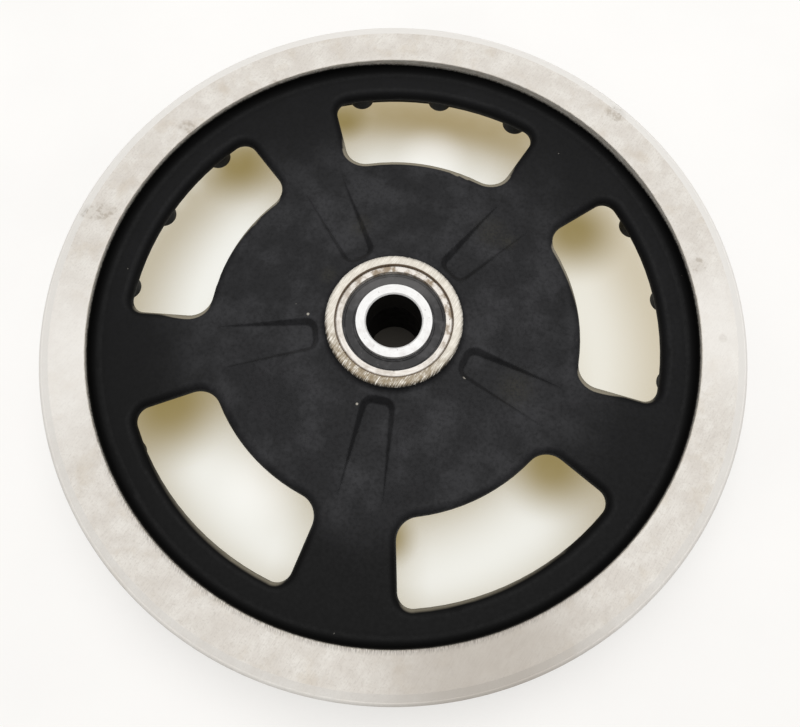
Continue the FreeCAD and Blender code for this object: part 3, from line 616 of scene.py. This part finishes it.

# %% [markdown]
# Half of the floor's whiteness is its own light, which only the camera and mirrors see, so that the wheel
# isn't lit from below. The other half is plain matt shading, which keeps the wheel's soft shadow. The open
# table has a faint cloud. Under the wheel the floor's colour and glow are painted light and painted shade,
# warm like light that has bounced about there: painted shade towards the far side, painted shadows beside
# the drive lugs, painted light near the hub, a flatter painted light in the right-hand window, and painted
# shade in the bore. These masks are fixed places on the floor, in metres from the axle or as spots in
# millimetres.

# %% Floor: where it is shaded
UNDER_WHEEL, IN_BORE = (0.157, 0.149), (0.05, 0.03)
RIGHT_WINDOW = (0.951, 0.309, 0)
floor_finish, tree, shader = new_finish("pale_floor", Specular_IOR_Level=0.0, Roughness=0.9)
spot = add(tree, "ShaderNodeTexCoord").outputs["Object"]
floor_mm = vector(tree, "SCALE", spot, MM_PER_METRE)
reach = vector(tree, "LENGTH", spot)
far = add(tree, "ShaderNodeSeparateXYZ", {0: spot}).outputs[1]
# Painted light and shade: under the wheel the floor takes its own colour and glow.
under = ramp(tree, reach, *UNDER_WHEEL)
bore = ramp(tree, reach, *IN_BORE)
heading = vector(tree, "DOT_PRODUCT", vector(tree, "NORMALIZE", spot), RIGHT_WINDOW)
right_window = ramp(tree, heading, 0.76, 0.87)
lug_shadow = times(tree, spots(tree, floor_mm, [
    (83, 82, 0, 32), (-104, 90, 0, 30), (-53, 128, 0, 18), (-104, -49, 0, 38), (86, -45, 0, 29),
    (14, -92, 0, 17)], 0.1), 0.92)
hub_side_light = spots(tree, floor_mm, [(0, 112, 0, 24), (-50, -75, 0, 28)], 0.15)
print("floor masks: under the wheel, bore, right window, lug shadows, hub side")

# %% [markdown]
# With the masks made, the shaded colour and the glow are built up in the same order, from the broad tone
# to the small places. Seen from below the floor is clear, so that it doesn't hide the wheel.

# %% Floor: colour and glow
OPEN_GLOW, WARM_GLOW, FAR_GLOW = (0.49, 0.483, 0.468, 1), (0.44, 0.375, 0.245, 1), (0.345, 0.265, 0.12, 1)
RIGHT_GLOW, HUB_GLOW, LUG_GLOW = (0.58, 0.505, 0.36, 1), (0.56, 0.5, 0.385, 1), (0.26, 0.195, 0.06, 1)
NO_GLOW = (0.0, 0.0, 0.0, 1)
cloud = noise(tree, spot, 9.0, 4.0)
open_floor = blend(tree, ramp(tree, cloud, 0.35, 0.7), screen(194, 193, 192), screen(190, 189, 188))
# Painted shade towards the far side, beside the drive lugs and in the bore, and a flatter tone in the
# right-hand window.
shaded = coat(tree, screen(207, 219, 233), screen(110, 104, 90), ramp(tree, far, 0.118, 0.142), 0.75)
shaded = coat(tree, shaded, screen(161, 174, 188), right_window)
shaded = coat(tree, shaded, screen(120, 118, 112), lug_shadow)
shaded = coat(tree, shaded, screen(90, 86, 80), bore)
# The glow under the wheel is painted light: warm, dimmer towards the far side, lighter near the hub and in
# the right-hand window, darker beside the lugs, none in the bore.
glow = blend(tree, ramp(tree, far, 0.105, 0.14), WARM_GLOW, FAR_GLOW)
for mask, tone in ((right_window, RIGHT_GLOW), (hub_side_light, HUB_GLOW), (lug_shadow, LUG_GLOW)):
    glow = coat(tree, glow, tone, mask)
glow = blend(tree, under, OPEN_GLOW, glow)
glow = coat(tree, glow, NO_GLOW, bore)
path = add(tree, "ShaderNodeLightPath")
seen = path.outputs["Is Camera Ray"]
for ray in ("Is Glossy Ray", "Is Transmission Ray"):
    seen = calc(tree, "MAXIMUM", seen, path.outputs[ray])
behind = add(tree, "ShaderNodeNewGeometry").outputs["Backfacing"]
feed(tree, shader, Base_Color=blend(tree, under, open_floor, shaded), Emission_Color=glow,
     Emission_Strength=seen, Alpha=calc(tree, "SUBTRACT", 1.0, behind))
floor_mesh.materials.append(floor_finish)
print("floor staged with", floor_finish.name)

# %% [markdown]
# Half of the light comes from everywhere, from an even white world. The other half is one large softbox
# high over the far side of the wheel, where the satin paint of the web mirrors it towards the camera. That
# makes the web a little lighter than the rim, and leaves only a faint shadow on the near side.

# %% World and softbox
WORLD_COLOUR, WORLD_STRENGTH = (1.0, 0.99, 0.975, 1), 0.36
SOFTBOX_PLACE, SOFTBOX_SIZE, SOFTBOX_WATTS = Vector((0.0, 0.36, 1.93)), 1.7, 28.0
world = bpy.data.worlds.new("studio")
bpy.context.scene.world = world
world.use_nodes = True
background = world.node_tree.nodes["Background"]
background.inputs["Color"].default_value = WORLD_COLOUR
background.inputs["Strength"].default_value = WORLD_STRENGTH
lamp = bpy.data.lights.new("high_softbox", "AREA")
lamp.shape = "SQUARE"
lamp.size = SOFTBOX_SIZE
lamp.energy = SOFTBOX_WATTS
softbox = bpy.data.objects.new("high_softbox", lamp)
softbox.location = SOFTBOX_PLACE
softbox.rotation_euler = (-SOFTBOX_PLACE).to_track_quat("-Z", "Y").to_euler()
bpy.context.scene.collection.objects.link(softbox)
print("one softbox and an even white world")

# %% [markdown]
# The camera stands close and almost overhead, about 75 degrees above the table, which is why the far
# flange looks narrower than the near one. Its place, direction, small roll and lens were found by
# fitting the circles of the wheel to the picture. The picture is 800 pixels wide on a 36 mm sensor.

# %% Camera
SENSOR, PICTURE_WIDTH, FOCAL_PIXELS = 36.0, 800, 669.5
CAMERA_PLACE, CAMERA_AIM = (0.01882, -0.09357, 0.32848), Vector((-0.04339, 0.25653, -0.96556))
CAMERA_ROLL = math.radians(0.87)
lens = bpy.data.cameras.new("portrait")
lens.sensor_width = SENSOR
lens.sensor_fit = "HORIZONTAL"
lens.lens = FOCAL_PIXELS * SENSOR / PICTURE_WIDTH
lens.clip_start = 0.01
camera = bpy.data.objects.new("portrait", lens)
camera.location = CAMERA_PLACE
camera.rotation_mode = "QUATERNION"
camera.rotation_quaternion = CAMERA_AIM.to_track_quat("-Z", "Y") @ Quaternion((0, 0, 1), CAMERA_ROLL)
bpy.context.scene.collection.objects.link(camera)
bpy.context.scene.camera = camera
bpy.context.scene.view_settings.view_transform = "Standard"
print("lens", round(lens.lens, 2), "mm")
